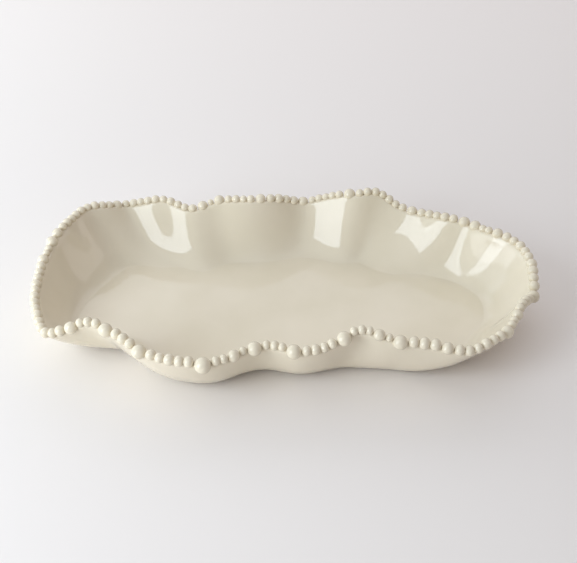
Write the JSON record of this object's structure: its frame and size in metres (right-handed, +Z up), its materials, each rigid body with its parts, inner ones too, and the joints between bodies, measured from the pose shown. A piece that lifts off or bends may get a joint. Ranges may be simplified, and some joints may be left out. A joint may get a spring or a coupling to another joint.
{
  "type": "serving dish",
  "caption": "Oblong glazed stoneware serving dish with a flat floor, a leaning wall pressed into soft folds and a rim strung with small round beads.",
  "frame": {"origin": "middle of the dish's length and width, on the plane of the table that the foot stands on", "axes": "+X along the length, +Y from the more folded long side to the other long side, +Z up"},
  "size_m": [0.4076, 0.2358, 0.0627],
  "materials": {
    "shell_glaze": "gloss",
    "bead_glaze": "gloss"
  },
  "bodies": {
    "root": {"dish_shell": "shell_glaze", "accent_bead_01": "bead_glaze", "accent_bead_02": "bead_glaze", "accent_bead_03": "bead_glaze", "accent_bead_04": "bead_glaze", "accent_bead_05": "bead_glaze", "accent_bead_06": "bead_glaze", "accent_bead_07": "bead_glaze", "accent_bead_08": "bead_glaze", "accent_bead_09": "bead_glaze", "accent_bead_10": "bead_glaze", "accent_bead_11": "bead_glaze", "accent_bead_12": "bead_glaze", "accent_bead_13": "bead_glaze", "accent_bead_14": "bead_glaze", "accent_bead_15": "bead_glaze", "accent_bead_16": "bead_glaze", "accent_bead_17": "bead_glaze", "accent_bead_18": "bead_glaze", "accent_bead_19": "bead_glaze", "accent_bead_20": "bead_glaze", "accent_bead_21": "bead_glaze", "accent_bead_22": "bead_glaze", "accent_bead_23": "bead_glaze", "accent_bead_24": "bead_glaze", "accent_bead_25": "bead_glaze", "accent_bead_26": "bead_glaze", "accent_bead_27": "bead_glaze", "accent_bead_28": "bead_glaze", "bead_run_01": "bead_glaze", "bead_run_02": "bead_glaze", "bead_run_04": "bead_glaze", "bead_run_05": "bead_glaze", "bead_run_06": "bead_glaze", "bead_run_07": "bead_glaze", "bead_run_08": "bead_glaze", "bead_run_09": "bead_glaze", "bead_run_10": "bead_glaze", "bead_run_11": "bead_glaze", "bead_run_13": "bead_glaze", "bead_run_14": "bead_glaze", "bead_run_15": "bead_glaze", "bead_run_16": "bead_glaze", "bead_run_17": "bead_glaze", "bead_run_18": "bead_glaze", "bead_run_19": "bead_glaze", "bead_run_20": "bead_glaze", "bead_run_21": "bead_glaze", "bead_run_22": "bead_glaze", "bead_run_23": "bead_glaze", "bead_run_24": "bead_glaze", "bead_run_25": "bead_glaze", "bead_run_26": "bead_glaze", "bead_run_27": "bead_glaze", "bead_run_28": "bead_glaze"}
  },
  "joints": []
}
